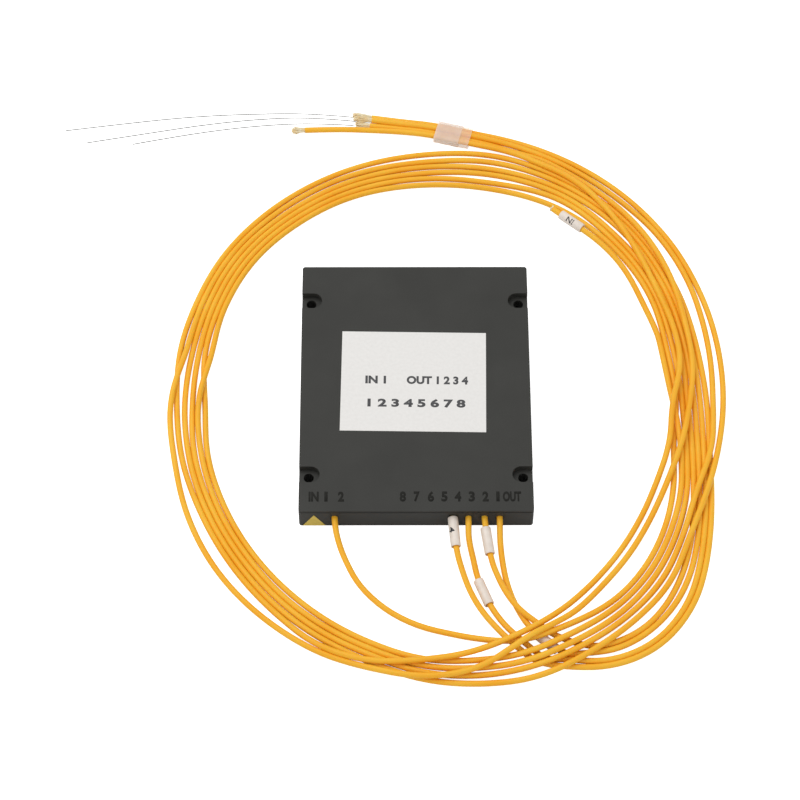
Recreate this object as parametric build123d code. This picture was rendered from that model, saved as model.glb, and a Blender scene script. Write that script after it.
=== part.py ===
"""Flat fibre splitter box with five corded fibres coiled round it.

Millimetres. The box lies flat, its origin at the middle of its underside, and
its cords leave through the front wall, towards -Y.
"""
from build123d import *
import math
import os

# Housing
housing_width = 80.0
housing_depth = 100.0
housing_height = 10.0
housing_corner = 1.0
inner_corner = 0.35
wall = 1.8
floor = 1.5
cover_edge = 0.8
reveal_height = 0.4
reveal_depth = 0.4
lip_height = 1.5
lip_width = 1.0
lip_clearance = 0.15
cover_break = 0.2
base_break = 0.15

# Screw seats in the corners
screw_inset_x = 3.3
screw_inset_y = 14.5
screw_hole_diameter = 3.5
seat_width = 6.2
seat_depth = 2.6
seat_reach = 7.1
seat_wall = 1.2
pin_diameter = 2.4
pin_length = 3.0
pin_inset = 4.6
pin_clearance = 0.1

# Ports in the front wall
port_in_inset = 12.1
port_one_inset = 11.55
port_pitch = 5.32
output_count = 4
port_height = 5.7
port_straight = 1.6
slot_width = 3.0
seal_clearance = 0.05
seal_recess = 0.1
seal_flange_width = 4.8
seal_flange_thickness = 1.5
seal_neck_diameter = 3.6
seal_neck_length = 4.2
seal_step = 1.2

# Cord and fibre sizes
cord_diameter = 2.0
buffer_diameter = 0.9
fibre_diameter = 0.3
cord_clearance = 0.1
arc_share = 0.45

# Stored fibre inside the housing
store_inset_x = 6.7
store_inset_y = 5.2
store_flat = 1.0
store_band = 3.0
store_height = 5.0
guide_wall = 1.2
guide_height = 6.0
guide_clearance = 0.3
guide_span = 36.0
guide_lean = 27.0
guide_tab_reach = 2.2
guide_tab_thickness = 0.7
guide_tab_span = 10.0

# Splitter module
module_x = 17.0
module_y = 2.0
module_length = 40.0
module_side = 4.0
module_wall = 0.3
module_pad_thickness = 0.8
module_pad_inset = 3.0
module_cap_length = 3.0
module_cap_plug = 1.5
module_fit = 0.05
cradle_thickness = 1.0
cradle_length = 8.0
cradle_height = 3.6
cradle_clearance = 0.15
bed_thickness = 0.5
bed_length = 26.0
array_length = 6.0
chip_length = 12.0
chip_width = 2.4
chip_height = 2.0
ribbon_width = 1.2
ribbon_thickness = 0.4

# Label and sticker
label_width = 50.5
label_height = 40.6
label_thickness = 0.12
label_x = -0.65
label_y = 1.8
label_turn = -0.9
sticker_inset = 5.2
sticker_base = 7.8
sticker_height = 7.0
sticker_foot = 0.15
sticker_thickness = 0.1

# Number sleeves on the cords
sleeve_diameter = 3.5
sleeve_bore = 2.5
sleeve_length = 9.6
sleeve_rest = sleeve_diameter / 2

# Cord coil round the housing: outer and inner edge as angle and radius
coil_x = 2.0
coil_y = -3.0
coil_height = 6.2
tail_face_angle = 72
input_face_angle = 20
coil_outer = (
    (tail_face_angle, 112.4), (90, 109.8), (110, 105.0), (135, 97.5), (160, 90.6),
    (180, 88.9), (200, 91.2), (225, 97.6), (250, 103.2), (272, 107.8), (290, 112.8),
    (301, 120.0), (312, 124.0), (325, 119.0), (340, 107.8), (355, 105.8), (375, 109.4),
    (400, 115.6), (tail_face_angle + 360, 121.2),
)
coil_inner = (
    (input_face_angle, 91.4), (33, 94.8), (47, 98.2), (62, 99.2), (80, 95.4), (105, 91.8),
    (130, 86.8), (155, 79.0), (180, 74.8), (205, 77.4), (230, 82.8), (250, 89.8),
    (265, 96.0), (280, 95.8), (300, 91.0), (320, 87.2), (340, 85.4), (360, 86.2),
    (input_face_angle + 360, 88.2),
)
underpass_angle = 292.2
underpass_half_width = 10.9
underpass_height = 4.3
underpass_end = 105.0

# Taped bundle of the four output ends
bundle_lift = 0.25
bundle_pitch = 2.04
bundle_radius = 116.9
bundle_straight = 9.0
input_end_radius = 89.6
input_end_straight = 13.0
wrap_x = 15.0
wrap_y = 114.4
wrap_turn = 164.8
wrap_length = 13.5
wrap_wall = 0.2
wrap_clearance = 0.05
wrap_run_in = 1.5
wrap_run_out = 2.0

# Yarn left at the cut jacket ends
yarn_length = 6.0
yarn_stub_length = 2.4
yarn_root = 1.7
yarn_tip = 2.0
yarn_gap = 0.12
fibre_start_shift = 0.2

# Derived places
base_height = housing_height - cover_edge - reveal_height
front_y = -housing_depth / 2
inner_width = housing_width - 2 * wall
inner_depth = housing_depth - 2 * wall
inner_front_y = front_y + wall
screw_spacing_x = housing_width - 2 * screw_inset_x
screw_spacing_y = housing_depth - 2 * screw_inset_y
store_width = inner_width - 2 * store_inset_x
store_length = inner_depth - 2 * store_inset_y
store_end_radius = (store_width - store_flat) / 2
port_in_x = port_in_inset - housing_width / 2
port_one_x = housing_width / 2 - port_one_inset
sticker_x = sticker_inset - housing_width / 2
seat_floor = housing_height - seat_depth
seat_radius = seat_width / 2
seat_centre_x = housing_width / 2 - seat_reach + seat_radius
seat_y = screw_spacing_y / 2
seal_back_y = inner_front_y + seal_flange_thickness + seal_neck_length
seal_step_y = seal_back_y - seal_step
module_base = floor + module_pad_thickness
module_mid = module_base + module_side / 2
output_ports = [port_one_x - port_pitch * number for number in range(output_count)]


def slab(width, depth, height, corner, foot):
    """Block with rounded upright edges, standing at height foot."""
    return Pos(0, 0, foot) * extrude(RectangleRounded(width, depth, corner), height)


def block(low, high):
    """Box between two corners."""
    size = [b - a for a, b in zip(low, high)]
    middle = [(a + b) / 2 for a, b in zip(low, high)]
    return Pos(*middle) * Box(*size)


def seat_plan(side_x, side_y, margin=0.0):
    """Plan of one screw seat, open at the side of the housing and grown by a margin."""
    radius = seat_radius + margin
    reach = housing_width / 2 - seat_centre_x + 1
    round_end = Circle(radius)
    straight = Pos(side_x * reach / 2, 0) * Rectangle(reach, 2 * radius)
    return Pos(side_x * seat_centre_x, side_y * seat_y) * (round_end + straight)


def seats(foot, height, margin=0.0):
    """The four seat shapes together, from height foot up."""
    plans = [seat_plan(side_x, side_y, margin) for side_x in (-1, 1) for side_y in (-1, 1)]
    first, *others = [Pos(0, 0, foot) * extrude(plan, height) for plan in plans]
    return first + others


def pin_places():
    """Where the cover's four press pins stand."""
    x = inner_width / 2 - pin_inset
    y = inner_depth / 2 - pin_inset
    return [(side_x * x, side_y * y) for side_x in (-1, 1) for side_y in (-1, 1)]


def store_plan(inset):
    """Outline of the stored fibre, moved in by an inset."""
    width = store_width - 2 * inset
    length = store_length - 2 * inset
    return RectangleRounded(width, length, store_end_radius - inset)


def guide_arcs():
    """Upright guide walls inside the fibre store, two at each end, with tabs over the fibre."""
    inset = store_band + guide_clearance
    ring = store_plan(inset) - store_plan(inset + guide_wall)
    tab = store_plan(inset - guide_tab_reach) - store_plan(inset + guide_wall)
    arc_centre = store_length / 2 - store_end_radius
    reach = store_end_radius + store_width
    walls = []
    tabs = []
    for end in (-1, 1):
        place = Pos(0, end * arc_centre)
        for lean in (-guide_lean, guide_lean):
            middle = end * (90 - lean)
            walls.append(place * wedge_plan(middle, guide_span, reach))
            tabs.append(place * wedge_plan(middle, guide_tab_span, reach))
    wall_plan = ring & walls
    tab_plan = tab & tabs
    foot = Pos(0, 0, floor)
    top = Pos(0, 0, floor + guide_height - guide_tab_thickness)
    return foot * extrude(wall_plan, guide_height), top * extrude(tab_plan, guide_tab_thickness)


def wedge_plan(middle, span, reach):
    """Sector of a circle about the origin, its middle and span in degrees."""
    half = math.radians(span / 2)
    turn = math.radians(middle)
    left = (reach * math.cos(turn + half), reach * math.sin(turn + half))
    right = (reach * math.cos(turn - half), reach * math.sin(turn - half))
    return make_face(Polyline((0, 0), right, left, close=True))


def slot_plan(width, top):
    """Port slot seen from the front: round below, straight up to the top."""
    radius = width / 2
    rise = top - port_height
    return Circle(radius) + Pos(0, rise / 2) * Rectangle(width, rise)


def along_y(plan, x, y_from, y_to):
    """Push a plan, drawn about the port's centre, from y_from back to y_to."""
    front = Plane(origin=(x, y_to, port_height), x_dir=(1, 0, 0), z_dir=(0, -1, 0))
    return extrude(front * plan, y_to - y_from)


def cradle_ribs():
    """Ribs on the floor on both sides of the splitter module."""
    offset = module_side / 2 + cradle_clearance
    ribs = []
    for end in (-1, 1):
        y = module_y + end * (module_length / 2 - cradle_length)
        for side in (-1, 1):
            inner = module_x + side * offset
            outer = inner + side * cradle_thickness
            low = (min(inner, outer), y - cradle_length / 2, floor)
            high = (max(inner, outer), y + cradle_length / 2, module_base + cradle_height)
            ribs.append(block(low, high))
    return ribs


def housing_base():
    """Moulded tray with port slots, screw seats, pin sockets, fibre guides and a cradle."""
    body = slab(housing_width, housing_depth, base_height, housing_corner, 0)
    outline = body
    hollow = slab(inner_width, inner_depth, housing_height, inner_corner, floor)
    body -= hollow
    body += (seats(0, base_height, seat_wall) & outline)
    body -= seats(seat_floor, housing_height)
    socket_radius = pin_diameter / 2 + pin_clearance
    for x, y in pin_places():
        post = Pos(x, y, base_height / 2) * Cylinder(socket_radius + seat_wall, base_height)
        hole = Pos(x, y, base_height - pin_length / 2) * Cylinder(
            socket_radius, pin_length + 2 * pin_clearance
        )
        body = body + (post & outline) - hole
    for x in [port_in_x] + output_ports:
        body -= along_y(slot_plan(slot_width, housing_height), x, front_y - 1, inner_front_y)
    for side_x in (-1, 1):
        for side_y in (-1, 1):
            place = Pos(side_x * screw_spacing_x / 2, side_y * seat_y, housing_height / 2)
            body -= place * Cylinder(screw_hole_diameter / 2, 2 * housing_height)
    walls, tabs = guide_arcs()
    body = body + walls + tabs
    body += cradle_ribs()
    bottom_edges = body.faces().sort_by(Axis.Z)[0].outer_wire().edges()
    return chamfer(bottom_edges, base_break)


def housing_cover():
    """Flat cover with a stepped edge, a lip inside the walls and four press pins."""
    plate_foot = base_height + reveal_height
    plate = slab(housing_width, housing_depth, cover_edge, housing_corner, plate_foot)
    top_edges = plate.faces().sort_by(Axis.Z)[-1].outer_wire().edges()
    plate = fillet(top_edges, cover_break)
    step = slab(
        housing_width - 2 * reveal_depth,
        housing_depth - 2 * reveal_depth,
        reveal_height,
        housing_corner - reveal_depth,
        base_height,
    )
    lip_outer_width = inner_width - 2 * lip_clearance
    lip_outer_depth = inner_depth - 2 * lip_clearance
    lip_foot = base_height - lip_height
    lip = slab(lip_outer_width, lip_outer_depth, lip_height, inner_corner, lip_foot)
    lip -= slab(
        lip_outer_width - 2 * lip_width,
        lip_outer_depth - 2 * lip_width,
        housing_height,
        inner_corner,
        0,
    )
    lip -= seats(0, housing_height, seat_wall + lip_clearance)
    cover = plate + step + lip
    for x, y in pin_places():
        cover += Pos(x, y, base_height - pin_length / 2) * Cylinder(pin_diameter / 2, pin_length)
    return cover - seats(0, 2 * housing_height)


def port_seal(x):
    """Soft grommet in one slot, bored for the cord in front and for its fibre behind."""
    slot_top = base_height - seal_clearance
    plug = slot_plan(slot_width - 2 * seal_clearance, slot_top)
    seal = along_y(plug, x, front_y + seal_recess, inner_front_y)
    flange = Rectangle(seal_flange_width, 2 * seal_flange_thickness)
    flange_back = inner_front_y + seal_flange_thickness
    seal += along_y(flange, x, inner_front_y, flange_back)
    seal += along_y(Circle(seal_neck_diameter / 2), x, flange_back, seal_back_y)
    seal -= along_y(Circle(cord_diameter / 2 + cord_clearance), x, front_y, seal_step_y)
    seal -= along_y(Circle(buffer_diameter / 2 + cord_clearance), x, front_y, seal_back_y)
    return seal


def rod(start, end, diameter):
    """Straight round rod between two points."""
    line = Vector(*end) - Vector(*start)
    plane = Plane(origin=start, z_dir=line)
    return extrude(plane * Circle(diameter / 2), line.length)


def fibre_store():
    """Stored turns of buffered fibre, a flat racetrack band on the floor."""
    band = store_plan(0) - store_plan(store_band)
    return Pos(0, 0, floor) * extrude(band, store_height)


def buffer_tube(x, store):
    """Buffered fibre from a cord's end in its seal to the stored turns."""
    whole = rod((x, seal_step_y, port_height), (x, 0, port_height), buffer_diameter)
    return (whole - store).solids().sort_by(Axis.Y)[0]


def module_tube():
    """Square steel tube of the splitter module."""
    inner = module_side - 2 * module_wall
    section = Rectangle(module_side, module_side) - Rectangle(inner, inner)
    plane = Plane(
        origin=(module_x, module_y + module_length / 2, module_mid),
        x_dir=(1, 0, 0),
        z_dir=(0, -1, 0),
    )
    return extrude(plane * section, module_length)


def module_cap(end, bore):
    """Rubber cap in one end of the tube, bored for what leaves there."""
    mouth = module_y + end * module_length / 2
    inner = module_side - 2 * module_wall - 2 * module_fit
    plug_middle = mouth - end * module_cap_plug / 2
    head_length = module_cap_length - module_cap_plug
    head_middle = mouth + end * head_length / 2
    cap = Pos(module_x, plug_middle, module_mid) * Box(inner, module_cap_plug, inner)
    cap += Pos(module_x, head_middle, module_mid) * Box(module_side, head_length, module_side)
    return cap - Pos(module_x, mouth, module_mid) * Rot(90, 0, 0) * extrude(
        bore, 2 * module_cap_length, both=True
    )


def chip_block(start_y, length):
    """Glass or silica block of the optical train, starting at start_y."""
    foot = module_base + module_wall + bed_thickness
    low = (module_x - chip_width / 2, start_y, foot)
    high = (module_x + chip_width / 2, start_y + length, foot + chip_height)
    return block(low, high)


def corner_radii(points):
    """Radius of the arc at each inner point, as large as its two runs allow."""
    radii = []
    for before, here, after in zip(points, points[1:], points[2:]):
        run_in = Vector(*here) - Vector(*before)
        run_out = Vector(*after) - Vector(*here)
        half_turn = math.radians(run_in.get_angle(run_out)) / 2
        radii.append(arc_share * min(run_in.length, run_out.length) / math.tan(half_turn))
    return radii


def cord_path(points):
    """Straight runs through the points, joined by tangent arcs."""
    return FilletPolyline(*points, radius=corner_radii(points))


def cord(name, points, diameter):
    """Round cord along straight runs joined by tangent arcs."""
    path = cord_path(points)
    start = Plane(origin=path @ 0, z_dir=path % 0)
    solid = sweep(start * Circle(diameter / 2), path=path)
    expected = path.length * math.pi * diameter ** 2 / 4
    radii = ", ".join(f"{radius:.1f}" for radius in corner_radii(points))
    print(f"{name}: length {path.length:.1f}, volume {solid.volume / expected:.4f}, radii {radii}")
    return solid


def polar(angle, radius, height):
    """Point round the coil's centre."""
    turn = math.radians(angle)
    return (coil_x + radius * math.cos(turn), coil_y + radius * math.sin(turn), height)


def ahead(angle, radius, distance, height):
    """Point straight ahead of the coil's radial face at an angle."""
    turn = math.radians(angle)
    x, y, _ = polar(angle, radius, height)
    return (x - distance * math.sin(turn), y + distance * math.cos(turn), height)


def coil_outline(stations):
    """Smooth closed outline through the stations, stepped square at its first angle."""
    points = [polar(angle, radius, 0) for angle, radius in stations]
    return make_face([Spline(*points), Line(points[-1], points[0])])


def cord_coil():
    """Outer shape of the loose turns, with the gap where the leads pass under them."""
    ring = coil_outline(coil_outer) - coil_outline(coil_inner)
    coil = extrude(ring, coil_height)
    reach = underpass_end / 2
    gap = Box(underpass_end, 2 * underpass_half_width, 2 * underpass_height)
    return coil - Pos(coil_x, coil_y, 0) * Rot(0, 0, underpass_angle) * Pos(reach, 0, 0) * gap


def tag_sleeve(start, end, share=0.5):
    """Printed sleeve threaded on a straight run of a cord, centred at a share of the run."""
    run = Vector(*end) - Vector(*start)
    along = run.normalized()
    middle = Vector(*start) + run * share
    plane = Plane(origin=middle - along * (sleeve_length / 2), z_dir=along)
    return extrude(plane * (Circle(sleeve_diameter / 2) - Circle(sleeve_bore / 2)), sleeve_length)


def bundle_offset(index):
    """Sideways place of one output end in the flat bundle, the first one outermost."""
    return bundle_pitch * ((output_count - 1) / 2 - index)


def wrap_point(along, offset):
    """Point of the taped bundle, measured along it and sideways from the wrap's middle."""
    turn = math.radians(wrap_turn)
    x = wrap_x + along * math.cos(turn) + offset * math.sin(turn)
    y = wrap_y + along * math.sin(turn) - offset * math.cos(turn)
    return (x, y, bundle_height)


def tape_wrap():
    """Band of tape folded round the four flat cords."""
    inner_height = cord_diameter + 2 * wrap_clearance
    inner_width_wrap = (output_count - 1) * bundle_pitch + inner_height
    outer_height = inner_height + 2 * wrap_wall
    outer_width = inner_width_wrap + 2 * wrap_wall
    section = SlotOverall(outer_width, outer_height) - SlotOverall(inner_width_wrap, inner_height)
    start = Vector(*wrap_point(-wrap_length / 2, 0))
    end = Vector(*wrap_point(wrap_length / 2, 0))
    side = Vector(*wrap_point(0, 1)) - Vector(*wrap_point(0, 0))
    return extrude(Plane(origin=start, x_dir=side, z_dir=end - start) * section, wrap_length)


def yarn_tuft(end, before, length):
    """Tuft of strength yarn standing out of a cut jacket."""
    along = (Vector(*end) - Vector(*before)).normalized()
    root = Plane(origin=end, z_dir=along)
    tip = Plane(origin=Vector(*end) + along * length, z_dir=along)
    return loft([root * Circle(yarn_root / 2), tip * Circle(yarn_tip / 2)])


bundle_height = cord_diameter / 2 + bundle_lift
floor_height = cord_diameter / 2
fibre_height = fibre_diameter / 2
fibre_bend_height = 0.8

# Routes of the leads, from the seal to the coil
input_route = [
    (port_in_x, seal_step_y, port_height),
    (port_in_x, front_y - port_straight, port_height),
    (-27.2, -58.6, 4.4),
    (-24.9, -65.8, 2.2),
    (-20.4, -73.4, floor_height),
    (-12.4, -81.9, floor_height),
    (-2.0, -88.6, floor_height),
    (9.0, -92.6, floor_height),
    (19.0, -94.1, floor_height),
    (28.0, -94.5, floor_height),
]
output_routes = [
    [
        (output_ports[0], seal_step_y, port_height),
        (output_ports[0], front_y - port_straight, port_height),
        (28.9, -59.2, 4.4),
        (29.7, -66.4, 2.4),
        (31.0, -73.4, floor_height),
        (33.2, -80.6, floor_height),
        (37.1, -87.8, sleeve_rest),
        (47.2, -98.0, sleeve_rest),
        (53.0, -103.0, sleeve_rest),
    ],
    [
        (output_ports[1], seal_step_y, port_height),
        (output_ports[1], front_y - port_straight, port_height),
        (25.0, -63.9, 4.9),
        (26.9, -70.4, 3.7),
        (29.9, -76.6, 3.35),
        (34.4, -82.2, 3.35),
        (40.6, -86.8, 3.1),
        (47.0, -91.6, 1.2),
        (53.0, -96.6, floor_height),
    ],
    [
        (output_ports[2], seal_step_y, port_height),
        (output_ports[2], front_y - port_straight, port_height),
        (18.6, -58.6, 4.5),
        (19.9, -65.2, 2.6),
        (21.7, -71.2, sleeve_rest),
        (25.0, -82.2, sleeve_rest),
        (29.6, -89.0, floor_height),
        (35.4, -94.6, floor_height),
        (42.0, -100.0, floor_height),
    ],
    [
        (output_ports[3], seal_step_y, port_height),
        (output_ports[3], front_y - port_straight / 2, port_height),
        (13.7, -62.2, 4.9),
        (15.3, -69.6, 3.0),
        (17.9, -77.0, 1.4),
        (21.8, -84.2, floor_height),
        (27.4, -90.8, floor_height),
        (33.4, -96.0, floor_height),
        (40.0, -101.0, floor_height),
    ],
]
sleeve_run_index = [6, 1, 4, 1]
sleeve_share = [0.5, 0.5, 0.5, 0.38]

# Routes of the ends: the input's last stretch and the four taped outputs
input_end_route = [
    polar(input_face_angle, input_end_radius, floor_height),
    ahead(input_face_angle, input_end_radius, input_end_straight, floor_height),
    polar(36.5, 93.2, 1.2),
    polar(43.5, 95.0, sleeve_rest),
    (62.0, 71.4, sleeve_rest),
    (52.6, 79.2, sleeve_rest),
]
jacket_ends = [(-15.5, 123.6), (-15.5, 121.4), (-16.2, 119.2), (-40.4, 117.0)]
last_bends = [(-4.0, 121.6), (-4.0, 119.4), (-4.0, 117.3), (-6.0, 115.4)]


def output_end_route(index):
    """Route of one output end, from the coil through the tape to its cut jacket."""
    offset = bundle_offset(index)
    radius = bundle_radius + offset
    route = [
        polar(tail_face_angle, radius, bundle_height),
        ahead(tail_face_angle, radius, bundle_straight, bundle_height),
        wrap_point(-wrap_length / 2 - wrap_run_in, offset),
        wrap_point(wrap_length / 2 + wrap_run_out, offset),
        (*last_bends[index], bundle_height),
    ]
    if index == output_count - 1:
        route += [(-17.0, 116.6, bundle_height), (-28.6, 117.4, bundle_height)]
    route.append((*jacket_ends[index], bundle_height))
    return route


bare_fibre_routes = [
    [(-38.0, 125.6), (-60.0, 125.4), (-82.0, 124.0), (-106.0, 121.2), (-129.5, 117.8)],
    [(-38.0, 123.6), (-58.0, 123.2), (-78.0, 120.6), (-99.0, 116.6), (-121.3, 112.3)],
    [(-38.0, 120.6), (-57.0, 119.4), (-73.0, 117.2), (-89.0, 114.4), (-104.3, 111.3)],
]


def bare_fibre_route(index):
    """Route of one bare fibre, from the yarn at its jacket down to the floor."""
    x, y = jacket_ends[index]
    start = (x - yarn_length - yarn_gap, y + fibre_start_shift, bundle_height)
    first, *others = bare_fibre_routes[index]
    return [start, (*first, fibre_bend_height)] + [(*place, fibre_height) for place in others]


parts = {}
parts["housing_base"] = housing_base()
parts["housing_cover"] = housing_cover()

label_place = Pos(label_x, label_y, housing_height) * Rot(0, 0, label_turn)
parts["face_label"] = label_place * extrude(Rectangle(label_width, label_height), label_thickness)

triangle = Polyline(
    (-sticker_base / 2, 0), (sticker_base / 2, 0), (0, sticker_height), close=True
)
sticker_plane = Plane(
    origin=(sticker_x, front_y, base_break + sticker_foot), x_dir=(1, 0, 0), z_dir=(0, -1, 0)
)
parts["index_sticker"] = extrude(sticker_plane * make_face(triangle), sticker_thickness)

store = fibre_store()
parts["fibre_store"] = store
parts["port_seal_in"] = port_seal(port_in_x)
parts["buffer_tube_in"] = buffer_tube(port_in_x, store)
for number, x in enumerate(output_ports, start=1):
    parts[f"port_seal_{number}"] = port_seal(x)
    parts[f"buffer_tube_{number}"] = buffer_tube(x, store)

pad_length = module_length - 2 * module_pad_inset
parts["module_pad"] = block(
    (module_x - module_side / 2, module_y - pad_length / 2, floor),
    (module_x + module_side / 2, module_y + pad_length / 2, module_base),
)
parts["module_tube"] = module_tube()
parts["module_cap_in"] = module_cap(1, Circle(buffer_diameter / 2 + module_fit))
ribbon_slot = Rectangle(ribbon_width + 2 * module_fit, ribbon_thickness + 2 * module_fit)
parts["module_cap_out"] = module_cap(-1, ribbon_slot)
bed_low = module_base + module_wall
parts["module_bed"] = block(
    (module_x - chip_width / 2, module_y - bed_length / 2, bed_low),
    (module_x + chip_width / 2, module_y + bed_length / 2, bed_low + bed_thickness),
)
train_start = module_y - chip_length / 2 - array_length
parts["output_array"] = chip_block(train_start, array_length)
parts["splitter_chip"] = chip_block(train_start + array_length, chip_length)
parts["input_array"] = chip_block(train_start + array_length + chip_length, array_length)
train_end = train_start + 2 * array_length + chip_length
pigtail_far = (module_x, store_length / 2, module_mid)
pigtail = rod((module_x, train_end, module_mid), pigtail_far, buffer_diameter)
parts["input_pigtail"] = (pigtail - store).solids().sort_by(Axis.Y)[0]
ribbon = block(
    (module_x - ribbon_width / 2, -store_length / 2, module_mid - ribbon_thickness / 2),
    (module_x + ribbon_width / 2, train_start, module_mid + ribbon_thickness / 2),
)
parts["output_ribbon"] = (ribbon - store).solids().sort_by(Axis.Y)[-1]

coil = cord_coil()
parts["cord_coil"] = coil
lead = cord("input_lead", input_route, cord_diameter) - coil
parts["input_lead"] = lead.solids().sort_by(SortBy.VOLUME)[-1]
sleeve_places = zip(sleeve_run_index, sleeve_share)
for number, (route, (run, share)) in enumerate(zip(output_routes, sleeve_places), start=1):
    lead = cord(f"output_lead_{number}", route, cord_diameter) - coil
    parts[f"output_lead_{number}"] = lead.solids().sort_by(SortBy.VOLUME)[-1]
    parts[f"tag_sleeve_{number}"] = tag_sleeve(route[run], route[run + 1], share)

parts["input_end"] = cord("input_end", input_end_route, cord_diameter)
parts["tag_sleeve_in"] = tag_sleeve(input_end_route[-2], input_end_route[-1])
parts["yarn_tuft_in"] = yarn_tuft(
    input_end_route[-1], input_end_route[-2], yarn_stub_length
)
for index in range(output_count):
    number = index + 1
    route = output_end_route(index)
    parts[f"output_end_{number}"] = cord(f"output_end_{number}", route, cord_diameter)
    parts[f"yarn_tuft_{number}"] = yarn_tuft(route[-1], route[-2], yarn_length)
parts["tape_wrap"] = tape_wrap()
for index in range(len(bare_fibre_routes)):
    name = f"bare_fibre_{index + 1}"
    parts[name] = cord(name, bare_fibre_route(index), fibre_diameter)

os.makedirs("parts", exist_ok=True)
for name, shape in parts.items():
    export_step(shape, f"parts/{name}.step")
print(f"{len(parts)} sub-parts")
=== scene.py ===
"""Flat moulded fibre splitter box with five corded fibres coiled loosely round it.

Metres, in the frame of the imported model: the box lies flat on the floor, its origin is at the
middle of its underside, and its cords leave through the front wall, towards -Y.
Values written in millimetres are multiplied by MM where they are used.
"""

import logging
import math
import random
from dataclasses import dataclass, field
from enum import Enum
from typing import Sequence

import bpy
import numpy as np
from mathutils import Matrix, Vector

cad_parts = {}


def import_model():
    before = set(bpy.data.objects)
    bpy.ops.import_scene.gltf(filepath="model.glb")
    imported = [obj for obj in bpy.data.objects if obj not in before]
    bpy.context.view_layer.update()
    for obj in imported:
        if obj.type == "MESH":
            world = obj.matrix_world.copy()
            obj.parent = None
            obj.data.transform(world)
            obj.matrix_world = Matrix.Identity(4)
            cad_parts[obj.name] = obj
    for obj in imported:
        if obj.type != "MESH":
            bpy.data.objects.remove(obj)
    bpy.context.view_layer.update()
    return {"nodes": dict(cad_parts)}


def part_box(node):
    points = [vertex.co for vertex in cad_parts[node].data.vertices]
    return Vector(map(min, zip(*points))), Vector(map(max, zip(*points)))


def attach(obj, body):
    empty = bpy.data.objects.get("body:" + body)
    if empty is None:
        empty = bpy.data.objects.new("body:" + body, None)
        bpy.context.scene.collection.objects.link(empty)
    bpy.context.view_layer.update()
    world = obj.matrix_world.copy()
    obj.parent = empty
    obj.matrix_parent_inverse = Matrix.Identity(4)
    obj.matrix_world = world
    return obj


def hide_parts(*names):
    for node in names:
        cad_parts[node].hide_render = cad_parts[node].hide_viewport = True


MM = 0.001
BODY = "root"
CAPITAL_SHARE = 0.7  # share of a text's size that a capital letter takes
CURVE_STEPS = 4  # straight pieces in each span of a drawn curve
LENGTH_STEPS = 6  # straight pieces in each span when a cord is measured

log = logging.getLogger("splitter")

Point = tuple[float, float, float]
Station = tuple[float, float, float]


def linear(red: int, green: int, blue: int) -> tuple[float, float, float, float]:
    """Turn a colour as seen on a screen, 0 to 255, into the linear colour that a shader takes.

    Args:
        red: Red part, 0 to 255.
        green: Green part, 0 to 255.
        blue: Blue part, 0 to 255.

    Returns:
        Linear red, green, blue and an alpha of 1.
    """
    parts = [part / 255 for part in (red, green, blue)]
    return tuple(
        part / 12.92 if part <= 0.04045 else ((part + 0.055) / 1.055) ** 2.4 for part in parts
    ) + (1.0,)


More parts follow.
